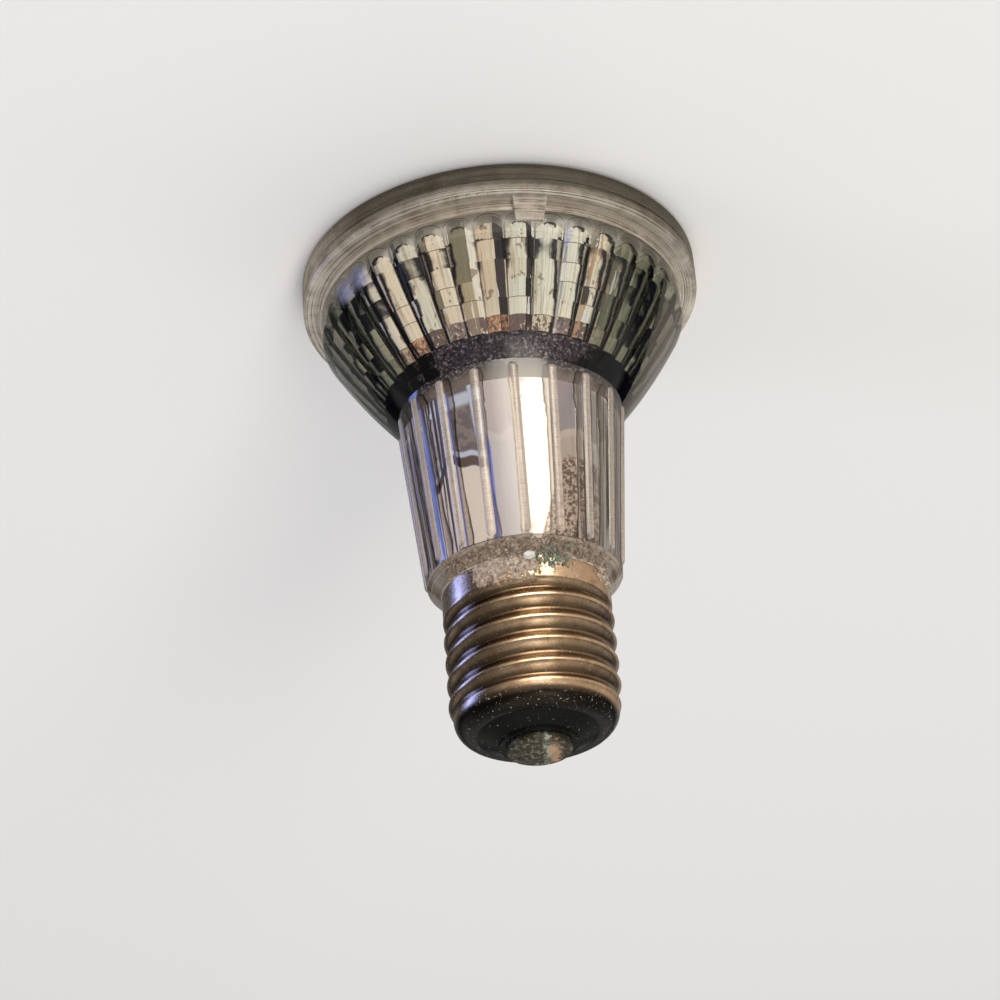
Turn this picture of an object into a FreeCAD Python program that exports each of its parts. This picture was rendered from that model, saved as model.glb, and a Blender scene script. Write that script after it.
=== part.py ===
# Reflector spotlight bulb with a round-thread screw cap, standing face down on its lens.
# Sizes are in millimetres and angles in degrees. The origin is the centre of the lens's
# standing ring, and +Z runs along the bulb's axis towards the cap's centre contact.
import FreeCAD
import Part

import os
from math import asin, cos, pi, radians, sin, sqrt, tan

os.makedirs("parts", exist_ok=True)

# The pressed lens that the bulb stands on.
rim_radius = 32.25
lens_edge_round = 0.9
lens_pane_thickness = 2.3
lens_dome_rise = 0.6
lens_foot_height = 0.9
lens_foot_width = 2.7
lens_foot_slope = 0.8

# The ring of sealing compound between the lens and the reflector.
seal_thickness = 0.25
seal_setback = 0.35
seal_width = 2.9

# The reflector's flange and the band of glass under it.
flange_thickness = 2.4
flange_round = 0.6
flange_overhang = 2.65
band_height = 0.9
band_step = 0.3
band_wall = 1.4

# The bowl: a parabola outside, and rings of fluted facets on another inside.
bowl_shoulder_length = 3.95
bowl_outer_focal = 8.4
bowl_outer_end_radius = 18.0
bowl_vertex_wall = 2.12
facet_focal_inset = 1.36
facet_mouth_ledge = 0.5
facet_throat_ledge = 0.6
facet_rings = 6
flute_count = 36
flute_depth = 0.5
flute_turn = 1.6
mouth_flare_height = 2.6
mouth_flare_depth = 2.3
coating_thickness = 0.2

# The neck: a taper with ribs outside and a panel between each two ribs inside.
neck_length = 29.69
neck_end_overhang = 2.15
neck_wall = 2.4
neck_chamfer = 2.1
neck_cavity_setback = 1.0
throat_height = 7.15
rib_count = 18
rib_radius = 0.85
rib_stand = 0.42
rib_turn = 3.5
rib_end_gap = 0.5

# The locating lug under the flange.
lug_turn = 11.1
lug_top_width = 5.7
lug_end_width = 3.9
lug_length = 4.3
lug_stand = 1.7

# The spigot of glass that the cap is cemented round, and its pressed floor.
spigot_clearance = 0.25
spigot_length = 2.2
well_wall = 2.2
well_taper = 1.3
floor_thickness = 3.4

# The screw cap, drawn from thin sheet: collar, round thread and rolled shoulder.
cap_joint = 0.25
cap_wall = 0.3
collar_step = 0.15
collar_height = 3.35
thread_crest_radius = 13.2
thread_depth = 1.1
thread_pitch = 3.629
thread_turns = 4.75
thread_run_in = 0.35
thread_start_turn = 301.0
thread_sections = 8
shoulder_step = 0.6
shoulder_round = 3.0
shoulder_lip = 0.3

# The black glass insulator, the centre contact and the solder on it.
insulator_hollow = 1.6
insulator_nose_height = 1.9
insulator_nose_edge = 0.5
insulator_nose_radius = 6.1
insulator_bore_radius = 0.9
contact_radius = 5.0
contact_height = 1.15
contact_wall = 0.5
contact_round = 0.45
contact_hole_radius = 0.8
solder_radius = 3.2
solder_height = 0.9
solder_offset = 0.7
solder_depth = 0.4

# The quartz capsule, with its filament centred on the focus of the facets.
capsule_radius = 5.0
capsule_wall = 0.9
capsule_reach = 11.5
capsule_tip_radius = 1.1
capsule_tip_length = 1.5
pinch_width = 9.0
pinch_thickness = 3.0
pinch_length = 10.5
pinch_round = 1.0
filament_length = 11.0
filament_radius = 0.8
filament_wire_radius = 0.1
filament_wire_sides = 6
filament_turns = 8
filament_turn_runs = 12
filament_fit = 0.02
spud_length = 1.2
inner_lead_radius = 0.25
inner_lead_bend = 0.8
foil_width = 2.0
foil_thickness = 0.1
foil_length = 5.0
pin_radius = 0.5
pin_spacing = 5.8
pin_end_clearance = 0.2

# The posts that carry the capsule, their ferrules in the floor, and the wires to the cap.
post_radius = 0.6
post_fit = 0.02
ferrule_radius = 1.9
ferrule_head_radius = 2.8
ferrule_head_height = 0.8
ferrule_stand = 0.3
ferrule_end_wall = 0.5
lead_radius = 0.35
lead_bend = 0.9
side_lead_bend = 0.45
side_lead_rise = 0.7
side_lead_turn = 4.0
side_solder_radius = 1.1
side_solder_height = 0.2
centre_lead_rise = 4.0
centre_lead_run = 4.0
centre_lead_share = 0.4
fuse_length = 3.2
fuse_radius = 0.2

# Heights and radii that follow from the sizes above.
lens_edge_height = lens_foot_height + lens_pane_thickness
flange_face = lens_edge_height + seal_thickness
flange_under = flange_face + flange_thickness
band_radius = rim_radius - flange_overhang
band_end = flange_under + band_height
mouth_radius = band_radius - band_wall
bowl_shoulder_radius = band_radius - band_step
bowl_shoulder_height = band_end + band_step + bowl_shoulder_length
outer_vertex = bowl_shoulder_height + bowl_shoulder_radius ** 2 / (4 * bowl_outer_focal)
bowl_end_height = outer_vertex - bowl_outer_end_radius ** 2 / (4 * bowl_outer_focal)
facet_focal = bowl_outer_focal - facet_focal_inset
facet_vertex_height = outer_vertex - bowl_vertex_wall
facet_mouth_radius = mouth_radius - facet_mouth_ledge
facet_throat_radius = bowl_outer_end_radius + facet_throat_ledge
facet_mouth_height = facet_vertex_height - facet_mouth_radius ** 2 / (4 * facet_focal)
facet_end_height = facet_vertex_height - facet_throat_radius ** 2 / (4 * facet_focal)
focus_height = facet_vertex_height - facet_focal
panel_start_height = facet_end_height + throat_height
collar_radius = thread_crest_radius - collar_step
shoulder_radius = thread_crest_radius - shoulder_step
neck_end_radius = collar_radius + neck_end_overhang
neck_end_height = bowl_end_height + neck_length
neck_cavity_end = neck_end_height - neck_cavity_setback
neck_glass_end = neck_end_height + neck_chamfer
neck_glass_end_radius = neck_end_radius - neck_chamfer
spigot_radius = thread_crest_radius - thread_depth - cap_wall - spigot_clearance
spigot_end = neck_glass_end + spigot_length
floor_height = spigot_end - floor_thickness
cap_start = neck_glass_end + cap_joint
thread_start = cap_start + collar_height
thread_swing = thread_depth / 2
thread_mean_radius = thread_crest_radius - thread_swing
thread_end = thread_start + thread_turns * thread_pitch
cap_end = thread_end + shoulder_round
shoulder_centre_radius = shoulder_radius - shoulder_round
cap_mouth_radius = shoulder_centre_radius - shoulder_lip
contact_seat = cap_end + insulator_nose_height
contact_face = contact_seat + contact_height
capsule_tube_start = focus_height - capsule_reach + capsule_radius
capsule_tube_end = focus_height + capsule_reach - capsule_radius
pinch_start = capsule_tube_end + capsule_radius - capsule_wall
pinch_end = pinch_start + pinch_length
foil_start = pinch_start + (pinch_length - foil_length) / 2
foil_end = foil_start + foil_length
pin_end = floor_height - ferrule_head_height - pin_end_clearance
post_offset = pin_spacing / 2 + pin_radius + post_fit + post_radius
post_start = (pinch_end + pin_end) / 2
ferrule_end = spigot_end + ferrule_stand
post_end = ferrule_end - ferrule_end_wall

front = -90.0
upward = FreeCAD.Vector(0, 0, 1)
origin = FreeCAD.Vector(0, 0, 0)
made = {}


def at(radius, height, turn=0.0):
    """A point at a radius and a height, turned about the bulb's axis."""
    return FreeCAD.Vector(radius * cos(radians(turn)), radius * sin(radians(turn)), height)


def face_of(start, *moves):
    """A flat face in the XZ plane. A move is a point, ("arc", middle, end) or ("edge", edge, end)."""
    here = at(*start)
    edges = []
    for move in moves:
        if move[0] == "arc":
            end = at(*move[2])
            edges.append(Part.Arc(here, at(*move[1]), end).toShape())
        elif move[0] == "edge":
            end = at(*move[2])
            edges.append(move[1])
        else:
            end = at(*move)
            edges.append(Part.makeLine(here, end))
        here = end
    edges.append(Part.makeLine(here, at(*start)))
    return Part.Face(Part.Wire(edges))


def turned(face):
    """The solid that a flat face sweeps in one turn about the bulb's axis."""
    return face.revolve(origin, upward, 360)


def disc(radius, start, end):
    """A plain round solid on the bulb's axis between two heights."""
    return Part.makeCylinder(radius, end - start, at(0, start))


def rod(radius, start, end):
    """A round rod between two points."""
    return Part.makeCylinder(radius, (end - start).Length, start, end - start)


def quarter(centre_radius, centre_height, round_radius):
    """The middle of a quarter round that runs from straight out to straight up."""
    reach = round_radius * cos(pi / 4)
    return (centre_radius + reach, centre_height + reach)


def bent_wire(radius, bend, *points):
    """A round wire along straight runs, with an arc of radius bend at each corner."""
    edges = []
    here = points[0]
    for before, corner, after in zip(points, points[1:], points[2:]):
        into = (corner - before).normalize()
        out = (after - corner).normalize()
        half_turn = into.getAngle(out) / 2
        reach = bend * tan(half_turn)
        start = corner - into * reach
        end = corner + out * reach
        middle = corner + (out - into).normalize() * (bend / cos(half_turn) - bend)
        edges.append(Part.makeLine(here, start))
        edges.append(Part.Arc(start, middle, end).toShape())
        here = end
    edges.append(Part.makeLine(here, points[-1]))
    section = Part.Wire(Part.makeCircle(radius, points[0], points[1] - points[0]))
    return Part.Wire(edges).makePipeShell([section], True, False)


def once(function):
    """Keeps a shape that several pieces are cut against, so that it is built only once."""
    def kept(*sizes):
        key = (function.__name__,) + sizes
        if key not in made:
            made[key] = function(*sizes)
        return made[key]
    return kept


def neck_radius(height):
    """The outside of the tapered neck at a height."""
    share = (height - bowl_end_height) / (neck_end_height - bowl_end_height)
    return bowl_outer_end_radius + (neck_end_radius - bowl_outer_end_radius) * share


def cusp_radius(radius):
    """The radius at the cusps of a fluted round; flutes are shallower where the round is smaller."""
    return radius * (1 - flute_depth / facet_mouth_radius)


def fluted_wire(radius, height):
    """A round made of shallow arcs, one for each flute, with a cusp between neighbours."""
    step = 360.0 / flute_count
    cusp = cusp_radius(radius)
    arcs = []
    for i in range(flute_count):
        turn = front + flute_turn + i * step
        arcs.append(Part.Arc(at(cusp, height, turn - step / 2), at(radius, height, turn),
                             at(cusp, height, turn + step / 2)).toShape())
    return Part.Wire(arcs)


def panel_wire(radius, height):
    """A polygon with a corner behind each rib; radius is measured to the middle of a side."""
    corner_radius = radius / cos(pi / rib_count)
    corners = [at(corner_radius, height, front - rib_turn + 360.0 * i / rib_count) for i in range(rib_count)]
    return Part.makePolygon(corners + corners[:1])


@once
def hollow(inset):
    """The space inside the reflector, drawn in by inset: mouth, facets, throat and neck panels."""
    flare_start = facet_mouth_height - coating_thickness
    flare_end = flare_start + mouth_flare_height
    mouth = turned(face_of(
        (0, lens_edge_height),
        (mouth_radius - inset, lens_edge_height),
        (mouth_radius - inset, flare_start),
        (mouth_radius - mouth_flare_depth - inset, flare_end),
        (0, flare_end)))
    edges = []
    for i in range(facet_rings + 1):
        radius = facet_mouth_radius + (facet_throat_radius - facet_mouth_radius) * i / facet_rings
        edges.append(fluted_wire(radius - inset, facet_vertex_height - radius ** 2 / (4 * facet_focal)))
    facets = Part.makeLoft(edges, True, True)
    panel_start_radius = neck_radius(panel_start_height) - neck_wall - inset
    panel_end_radius = neck_radius(neck_cavity_end) - neck_wall - inset
    throat = Part.makeCone(cusp_radius(facet_throat_radius - inset), panel_start_radius, throat_height,
                           at(0, facet_end_height))
    neck = Part.makeLoft([panel_wire(panel_start_radius, panel_start_height),
                          panel_wire(panel_end_radius, neck_cavity_end)], True, True)
    return mouth.fuse([facets, throat, neck])


def mirror_coating():
    """The film of bright metal inside the bowl, throat and neck, over the steps between them too."""
    film_start = facet_mouth_height - coating_thickness
    film_end = neck_cavity_end - coating_thickness
    inside = hollow(coating_thickness).translated(upward * -coating_thickness)
    return hollow(0.0).cut(inside).common(disc(rim_radius, film_start, film_end))


def neck_rib(turn):
    """One rounded rib down the outside of the neck."""
    first = bowl_end_height + rib_radius + rib_end_gap
    last = neck_end_height - rib_radius - rib_end_gap
    sink = rib_radius - rib_stand
    start = at(neck_radius(first) - sink, first, turn)
    end = at(neck_radius(last) - sink, last, turn)
    return rod(rib_radius, start, end).fuse([Part.makeSphere(rib_radius, start), Part.makeSphere(rib_radius, end)])


def locating_lug():
    """The tapered lug under the flange, whose face slopes back to the bowl."""
    root = bowl_shoulder_radius - flange_round
    top = flange_under - flange_round
    end = flange_under + lug_length
    plan = Part.Face(Part.makePolygon([
        FreeCAD.Vector(root, -lug_top_width / 2, top),
        FreeCAD.Vector(root, lug_top_width / 2, top),
        FreeCAD.Vector(root, lug_end_width / 2, end),
        FreeCAD.Vector(root, -lug_end_width / 2, end),
        FreeCAD.Vector(root, -lug_top_width / 2, top)]))
    block = plan.extrude(FreeCAD.Vector(band_radius + lug_stand, 0, 0))
    side = face_of((root, top), (band_radius + lug_stand, top), (band_radius + lug_stand, flange_under),
                   (root, end))
    side.translate(FreeCAD.Vector(0, -lug_top_width, 0))
    lug = block.common(side.extrude(FreeCAD.Vector(0, 2 * lug_top_width, 0)))
    lug.rotate(origin, upward, front - lug_turn)
    return lug


def bowl_edge():
    """The outside of the bowl: an arc of a parabola that opens towards the lens."""
    middle = (bowl_shoulder_radius + bowl_outer_end_radius) / 2
    slope = bowl_shoulder_radius / (2 * bowl_outer_focal)
    control = at(middle, bowl_shoulder_height + slope * (bowl_shoulder_radius - middle))
    curve = Part.BezierCurve()
    curve.setPoles([at(bowl_shoulder_radius, bowl_shoulder_height), control,
                    at(bowl_outer_end_radius, bowl_end_height)])
    return curve.toShape()


@once
def reflector_glass():
    """The pressed glass body: flange, bowl, ribbed neck, spigot and floor, and hollow inside."""
    round_start = flange_under - flange_round
    body = turned(face_of(
        (0, flange_face),
        (rim_radius, flange_face),
        (rim_radius, round_start),
        ("arc", quarter(rim_radius - flange_round, round_start, flange_round),
         (rim_radius - flange_round, flange_under)),
        (band_radius, flange_under),
        (band_radius, band_end),
        (bowl_shoulder_radius, band_end + band_step),
        (bowl_shoulder_radius, bowl_shoulder_height),
        ("edge", bowl_edge(), (bowl_outer_end_radius, bowl_end_height)),
        (neck_end_radius, neck_end_height),
        (neck_glass_end_radius, neck_glass_end),
        (spigot_radius, neck_glass_end),
        (spigot_radius, spigot_end),
        (0, spigot_end)))
    body = body.fuse([neck_rib(front - rib_turn + 360.0 * i / rib_count) for i in range(rib_count)])
    body = body.fuse(locating_lug())
    floor_radius = spigot_radius - well_wall
    well = turned(face_of(
        (0, neck_cavity_end),
        (floor_radius + well_taper, neck_cavity_end),
        (floor_radius, floor_height),
        (0, floor_height)))
    holes = [rod(ferrule_radius, at(x, floor_height), at(x, spigot_end)) for x in (-post_offset, post_offset)]
    return body.cut([hollow(0.0), well] + holes)


def dome(apex, rise, radius):
    """An arc from the axis out to a radius, centred on the axis, as a move for face_of."""
    ball_radius = (radius ** 2 + rise ** 2) / (2 * rise)
    half = asin(radius / ball_radius) / 2
    middle = (ball_radius * sin(half), apex + ball_radius * (1 - cos(half)))
    return ("arc", middle, (radius, apex + rise))


def front_lens():
    """The clear lens: a shallow dome inside a raised ring that the bulb stands on."""
    foot_inner = rim_radius - lens_foot_width
    pane_radius = foot_inner - lens_foot_slope
    apex = lens_foot_height - lens_dome_rise
    round_middle = lens_edge_round * (1 - cos(pi / 4))
    outside = face_of(
        (0, apex),
        dome(apex, lens_dome_rise, pane_radius),
        (foot_inner, 0),
        (rim_radius - lens_edge_round, 0),
        ("arc", (rim_radius - round_middle, round_middle), (rim_radius, lens_edge_round)),
        (rim_radius, lens_edge_height),
        (0, lens_edge_height))
    inside = face_of(
        (0, apex + lens_pane_thickness),
        dome(apex + lens_pane_thickness, lens_dome_rise, pane_radius),
        (0, lens_edge_height))
    return turned(outside).cut(turned(inside))


def lens_seal():
    """The ring of compound between the lens and the flange, a little inside the rim."""
    outer = rim_radius - seal_setback
    ring = disc(outer, lens_edge_height, flange_face)
    return ring.cut(disc(outer - seal_width, lens_edge_height, flange_face))


def cap_form(inset):
    """The cap's shape from its open end to its shoulder, drawn in by inset.

    The round thread is a circle carried round a small helix, so it has no sharp start or end.
    """
    steps = int(round(thread_turns * thread_sections))
    circles = []
    for i in range(steps + 1):
        turns = thread_turns * i / steps
        height = thread_start + turns * thread_pitch
        blend = max(0.0, min(1.0, turns / thread_run_in, (thread_turns - turns) / thread_run_in))
        end_radius = collar_radius if turns < thread_turns / 2 else shoulder_radius
        radius = end_radius + (thread_mean_radius - end_radius) * blend
        centre = at(thread_swing * blend, height, thread_start_turn + 360.0 * turns)
        circles.append(Part.Wire(Part.makeCircle(radius - inset, centre, upward)))
    thread = Part.makeLoft(circles, True, True)
    collar = disc(collar_radius - inset, cap_start, thread_start)
    roll = shoulder_round - inset
    shoulder = turned(face_of(
        (0, thread_end),
        (shoulder_radius - inset, thread_end),
        ("arc", quarter(shoulder_centre_radius, thread_end, roll), (shoulder_centre_radius, thread_end + roll)),
        (0, thread_end + roll)))
    return collar.fuse([thread, shoulder])


@once
def screw_shell():
    """The thin cap with its round thread, open at both ends."""
    mouth = disc(cap_mouth_radius, thread_end, cap_end)
    return cap_form(0.0).cut([cap_form(cap_wall), mouth])


def cap_insulator():
    """The black glass that fills the cap's end and carries the contact on its nose."""
    roll = shoulder_round - cap_wall
    boss_radius = contact_radius - contact_wall
    boss_end = contact_face - contact_wall
    return turned(face_of(
        (insulator_bore_radius, thread_end + insulator_hollow),
        (shoulder_radius - cap_wall - insulator_hollow, thread_end),
        (shoulder_radius - cap_wall, thread_end),
        ("arc", quarter(shoulder_centre_radius, thread_end, roll), (shoulder_centre_radius, thread_end + roll)),
        (cap_mouth_radius, thread_end + roll),
        (cap_mouth_radius, cap_end),
        (insulator_nose_radius, contact_seat - insulator_nose_edge),
        (insulator_nose_radius, contact_seat),
        (boss_radius, contact_seat),
        (boss_radius, boss_end),
        (insulator_bore_radius, boss_end)))


def centre_contact():
    """The pressed metal cap on the insulator's nose, with a hole for the wire."""
    inner_radius = contact_radius - contact_wall
    inner_height = contact_face - contact_wall
    round_radius = contact_radius - contact_round
    round_height = contact_face - contact_round
    return turned(face_of(
        (inner_radius, contact_seat),
        (contact_radius, contact_seat),
        (contact_radius, round_height),
        ("arc", quarter(round_radius, round_height, contact_round), (round_radius, contact_face)),
        (contact_hole_radius, contact_face),
        (contact_hole_radius, inner_height),
        (inner_radius, inner_height)))


def contact_solder():
    """The bead of solder over the contact's hole, a little to one side."""
    ball_radius = (solder_radius ** 2 + solder_height ** 2) / (2 * solder_height)
    ball = Part.makeSphere(ball_radius, at(solder_offset, contact_face + solder_height - ball_radius))
    bead = ball.common(disc(contact_radius + solder_radius, contact_face, contact_face + solder_height))
    plug = disc(contact_hole_radius, contact_face - solder_depth, contact_face)
    return bead.fuse(plug).cut(contact_lead_wire())


def capsule_envelope():
    """The quartz tube: domed end with its tip, round body and flat pinch round the foils."""
    tip_end = focus_height - capsule_reach
    dome_start = capsule_tube_start
    bore = capsule_radius - capsule_wall
    half = sqrt(0.5)
    tube = turned(face_of(
        (0, tip_end),
        ("arc", (capsule_radius * half, dome_start - capsule_radius * half), (capsule_radius, dome_start)),
        (capsule_radius, capsule_tube_end),
        ("arc", quarter(0, capsule_tube_end, capsule_radius), (0, capsule_tube_end + capsule_radius))))
    space = turned(face_of(
        (0, dome_start - bore),
        ("arc", (bore * half, dome_start - bore * half), (bore, dome_start)),
        (bore, capsule_tube_end),
        ("arc", quarter(0, capsule_tube_end, bore), (0, capsule_tube_end + bore))))
    tip = Part.makeCone(capsule_tip_radius / 2, capsule_tip_radius, capsule_tip_length + capsule_wall,
                        at(0, tip_end - capsule_tip_length))
    block = Part.makeBox(pinch_width, pinch_thickness, pinch_end - capsule_tube_end,
                         FreeCAD.Vector(-pinch_width / 2, -pinch_thickness / 2, capsule_tube_end))
    upright = [edge for edge in block.Edges if edge.BoundBox.ZLength > pinch_thickness]
    pinch = block.makeFillet(pinch_round, upright)
    glass = tube.fuse([tip, pinch])
    return glass.cut([space, filament_lead_short(), filament_lead_long(), foil(-1), foil(1),
                      capsule_pin(-1), capsule_pin(1)])


def filament():
    """The tungsten coil along the axis, centred on the focus, as short straight runs."""
    start = focus_height - filament_length / 2
    count = filament_turns * filament_turn_runs
    path = [at(filament_radius, start + filament_length * i / count, 360.0 * i / filament_turn_runs)
            for i in range(count + 1)]
    along = (path[1] - path[0]).normalize()
    outward = FreeCAD.Vector(1, 0, 0)
    across = along.cross(outward).normalize()
    corners = []
    for i in range(filament_wire_sides):
        angle = 2 * pi * i / filament_wire_sides
        corners.append(path[0] + outward * (filament_wire_radius * cos(angle))
                       + across * (filament_wire_radius * sin(angle)))
    section = Part.makePolygon(corners + corners[:1])
    return Part.makePolygon(path).makePipeShell([section], True, False, 1)


def spud(start, end):
    """The thicker end of an inner lead, which the coil is threaded on to."""
    coil_bore = filament_radius * cos(pi / filament_turn_runs) - filament_wire_radius
    return disc(coil_bore - filament_fit, start, end)


@once
def filament_lead_short():
    """The lead from the pinch to the near end of the coil."""
    coil_end = focus_height + filament_length / 2
    bend_height = (coil_end + pinch_start) / 2
    x = -pin_spacing / 2
    wire = bent_wire(inner_lead_radius, inner_lead_bend, at(x, foil_start), at(x, bend_height),
                     at(0, bend_height), at(0, coil_end))
    return wire.fuse(spud(coil_end - spud_length, coil_end))


@once
def filament_lead_long():
    """The lead that runs up beside the coil to its far end."""
    coil_start = focus_height - filament_length / 2
    bend_height = coil_start - 2 * inner_lead_bend
    x = pin_spacing / 2
    wire = bent_wire(inner_lead_radius, inner_lead_bend, at(x, foil_start), at(x, bend_height),
                     at(0, bend_height), at(0, coil_start))
    return wire.fuse(spud(coil_start, coil_start + spud_length))


def foil(side):
    """The thin strip in the pinch that joins an inner lead to its pin."""
    return Part.makeBox(foil_width, foil_thickness, foil_length, FreeCAD.Vector(
        side * pin_spacing / 2 - foil_width / 2, -foil_thickness / 2, foil_start))


def capsule_pin(side):
    """The stiff pin that comes out of the pinch."""
    x = side * pin_spacing / 2
    return rod(pin_radius, at(x, foil_end), at(x, pin_end))


def support_post(side):
    """The post that a pin is welded to, standing in its ferrule."""
    x = side * post_offset
    return rod(post_radius, at(x, post_start), at(x, post_end))


def ferrule(side):
    """The metal thimble sealed into the glass floor round a post."""
    x = side * post_offset
    body = rod(ferrule_radius, at(x, floor_height), at(x, ferrule_end))
    head = rod(ferrule_head_radius, at(x, floor_height - ferrule_head_height), at(x, floor_height))
    bore = rod(post_radius, at(x, floor_height - ferrule_head_height), at(x, post_end))
    return body.fuse(head).cut(bore)


@once
def side_lead_wire():
    """The wire from one ferrule to the collar's edge, down between the spigot and the collar."""
    gap_radius = (spigot_radius + collar_radius - cap_wall) / 2
    turn = front - side_lead_turn
    run_height = ferrule_end + side_lead_rise
    return bent_wire(lead_radius, side_lead_bend, at(-post_offset, ferrule_end), at(-post_offset, run_height),
                     at(gap_radius, run_height, turn), at(gap_radius, cap_start + side_solder_height, turn))


@once
def side_solder():
    """The bead that joins the side wire to the collar's edge."""
    bead = Part.makeSphere(side_solder_radius, at(collar_radius, cap_start, front - side_lead_turn))
    return bead.cut([reflector_glass(), screw_shell(), side_lead_wire()])


def cap_cement():
    """The cement between the spigot and the cap, which shows in the joint."""
    inner = disc(spigot_radius, neck_glass_end, spigot_end)
    fill = disc(collar_radius - cap_wall, cap_start, spigot_end)
    joint = disc(neck_glass_end_radius, neck_glass_end, cap_start)
    return fill.fuse(joint).cut([inner, side_lead_wire(), side_solder()])


def fuse_ends():
    """The two ends of the fuse, on the line from the ferrule's wire to the axis."""
    start_x = post_offset * (1 - centre_lead_share)
    start_height = ferrule_end + centre_lead_rise + centre_lead_run
    run = FreeCAD.Vector(start_x - post_offset, 0, centre_lead_run).normalize()
    start = at(start_x, start_height)
    end = start + run * fuse_length
    to_axis = -end.x / run.x
    return start, end, end + run * to_axis


def centre_lead_wire():
    """The wire from the other ferrule to the fuse."""
    start = fuse_ends()[0]
    return bent_wire(lead_radius, lead_bend, at(post_offset, ferrule_end),
                     at(post_offset, ferrule_end + centre_lead_rise), start)


def fuse_wire():
    """The thin length of wire that burns through if the bulb draws too much."""
    start, end, _ = fuse_ends()
    return rod(fuse_radius, start, end)


def contact_lead_wire():
    """The wire from the fuse through the insulator's bore to the contact."""
    _, end, on_axis = fuse_ends()
    return bent_wire(lead_radius, lead_bend, end, on_axis, at(0, contact_face))


pieces = {
    "front_lens": front_lens,
    "lens_seal": lens_seal,
    "reflector_glass": reflector_glass,
    "mirror_coating": mirror_coating,
    "capsule_envelope": capsule_envelope,
    "filament": filament,
    "filament_lead_short": filament_lead_short,
    "filament_lead_long": filament_lead_long,
    "foil_left": lambda: foil(-1),
    "foil_right": lambda: foil(1),
    "capsule_pin_left": lambda: capsule_pin(-1),
    "capsule_pin_right": lambda: capsule_pin(1),
    "support_post_left": lambda: support_post(-1),
    "support_post_right": lambda: support_post(1),
    "ferrule_left": lambda: ferrule(-1),
    "ferrule_right": lambda: ferrule(1),
    "side_lead_wire": side_lead_wire,
    "centre_lead_wire": centre_lead_wire,
    "fuse_wire": fuse_wire,
    "contact_lead_wire": contact_lead_wire,
    "screw_shell": screw_shell,
    "cap_insulator": cap_insulator,
    "centre_contact": centre_contact,
    "contact_solder": contact_solder,
    "side_solder": side_solder,
    "cap_cement": cap_cement,
}

for name, make in pieces.items():
    shape = make()
    shape.exportStep("parts/" + name + ".step")
    print(name, "solids", len(shape.Solids), "faces", len(shape.Faces), "valid", shape.isValid(),
          "volume", round(shape.Volume, 2), "to height", round(shape.BoundBox.ZMax, 2))
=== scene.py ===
# The looks of the reflector spotlight bulb, standing face down on its lens.
# Lengths are in metres, and a value times MM is written in millimetres. Turns and rises are in degrees.
# A turn is counted round the axis, from the front towards the picture's right.
import math
import random

import bmesh
import bpy
from mathutils import Matrix, Vector
from mathutils import noise


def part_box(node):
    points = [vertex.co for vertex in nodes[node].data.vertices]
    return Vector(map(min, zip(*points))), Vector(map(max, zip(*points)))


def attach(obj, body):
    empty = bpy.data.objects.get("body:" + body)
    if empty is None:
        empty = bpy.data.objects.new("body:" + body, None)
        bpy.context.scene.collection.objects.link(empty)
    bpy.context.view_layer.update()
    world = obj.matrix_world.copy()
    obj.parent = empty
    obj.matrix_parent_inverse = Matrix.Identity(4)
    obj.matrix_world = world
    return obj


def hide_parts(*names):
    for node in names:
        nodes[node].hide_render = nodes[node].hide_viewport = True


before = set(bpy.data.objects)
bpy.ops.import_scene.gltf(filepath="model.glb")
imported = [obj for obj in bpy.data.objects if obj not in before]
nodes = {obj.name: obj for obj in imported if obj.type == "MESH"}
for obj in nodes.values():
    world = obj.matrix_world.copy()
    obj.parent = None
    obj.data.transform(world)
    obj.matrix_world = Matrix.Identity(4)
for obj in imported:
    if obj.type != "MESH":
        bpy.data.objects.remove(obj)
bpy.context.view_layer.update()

MM = 0.001

# The camera, as the photograph was taken: from above, with the cap towards the bottom of the picture.
CAMERA_DISTANCE = 0.43524
CAMERA_ELEVATION = math.radians(29.586)
CAMERA_ROLL = math.radians(5.064)
CAMERA_AIM_HEIGHT = 0.0415
CAMERA_CLIP = (0.01, 50.0)
FOCAL_SHARE = 2.765
SENSOR = 36.0
PRINCIPAL_POINT = (517.5, 497.55)
PICTURE = 1000.0

# The reflector in the sizes that it is drawn with, in millimetres and degrees.
FLUTES = 36
FLUTE_STEP = 360.0 / FLUTES
FLUTE_TURN = -1.6
FACET_FOCAL = 7.04
FACET_VERTEX = 34.43
FACET_MOUTH = 27.7
FACET_THROAT = 18.6
FACET_RINGS = 6
FACET_END = FACET_VERTEX - FACET_THROAT ** 2 / (4 * FACET_FOCAL)
FILM_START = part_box("mirror_coating")[0].z / MM
PANEL_START = 29.3
NECK_PANELS = 18
PANEL_STEP = 360.0 / NECK_PANELS
RIB_TURN = 3.5
NECK_START = (26.907, 18.0)
NECK_END = (56.6, 15.2)
BAND_END = 7.05
BAND_RADIUS = 29.6
LUG_END = 10.2
PANE_RADIUS = 29.5

# The flared mouth of the film, and the round heads that the flutes end in there.
MOUTH_EDGE = (28.26, 28.23)
MOUTH_END = (10.0, 9.9)
FLARE_START = 6.98
FLARE_SLOPE = 2.3 / 2.6
HEAD_TOP = 7.05
HEAD_DROP = 1.6

# The cap in the sizes that it is drawn with, in millimetres and degrees.
CAP_START = 58.95
CAP_WALL = 0.3
COLLAR_RADIUS = 13.05
THREAD_START = 62.3
THREAD_END = 79.54
THREAD_CREST = 13.2
THREAD_DEPTH = 1.1
THREAD_PITCH = 3.629
THREAD_FIRST_TURN = 301.0
THREAD_RUN_IN = 0.35
SHOULDER_RADIUS = 12.6
SHOULDER_ROUND = 3.0
SHOULDER_LIP = 0.3

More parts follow.
